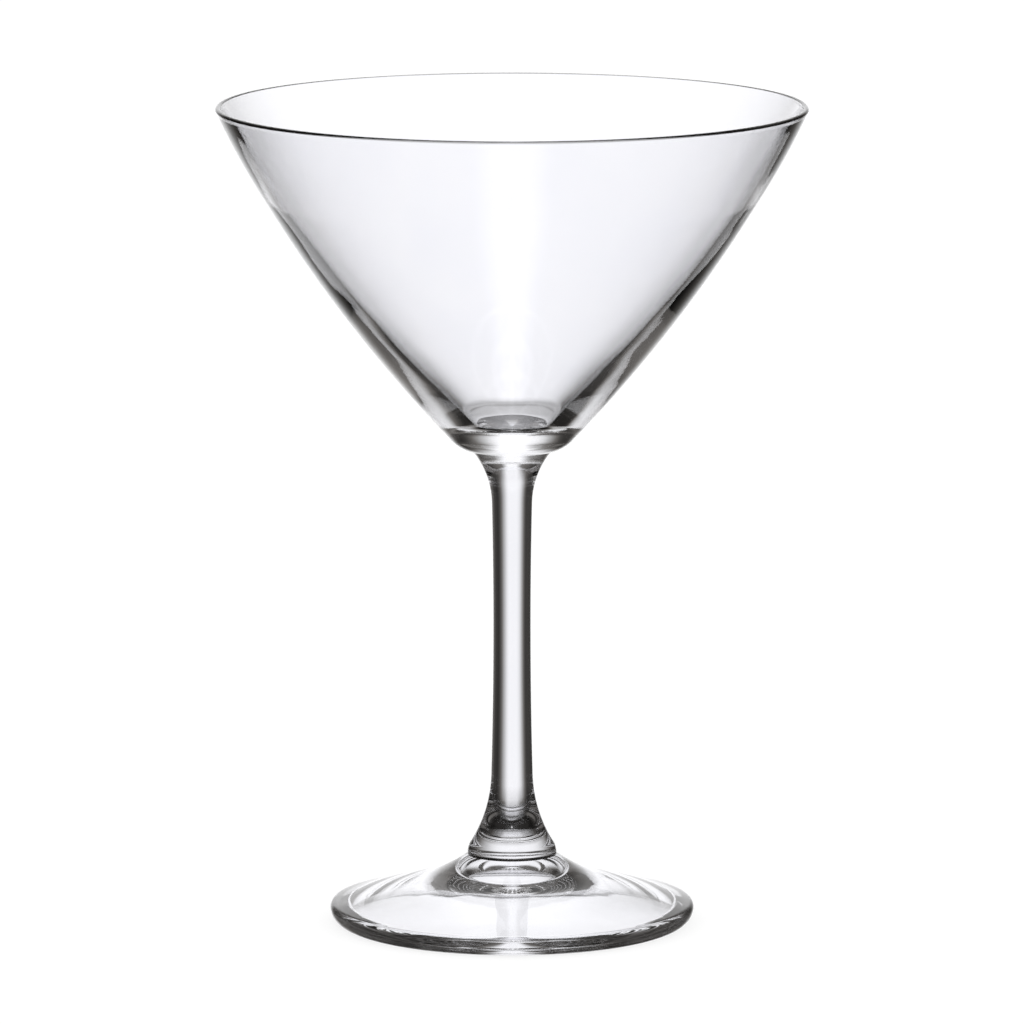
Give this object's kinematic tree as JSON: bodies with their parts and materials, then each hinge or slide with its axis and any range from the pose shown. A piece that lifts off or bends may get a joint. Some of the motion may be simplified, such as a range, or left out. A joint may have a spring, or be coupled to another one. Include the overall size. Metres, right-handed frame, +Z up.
{
  "type": "martini glass",
  "caption": "Clear stemmed cocktail glass with a wide conical bowl, a slim flared stem and a low round foot.",
  "frame": {"origin": "on the glass's axis, in the plane of the foot's standing ring", "axes": "+Z up along the axis, from the foot to the rim; X and Y are equivalent because the glass is round"},
  "size_m": [0.117, 0.117, 0.1638],
  "materials": {
    "bowl_glass": "clear, colourless and fire-polished; taken as lead-free crystal",
    "stem_glass": "clear, colourless, smooth drawn crystal",
    "foot_glass": "clear, colourless, pressed and fire-polished crystal"
  },
  "bodies": {
    "root": {"bowl": "bowl_glass", "stem": "stem_glass", "foot": "foot_glass"}
  },
  "joints": []
}
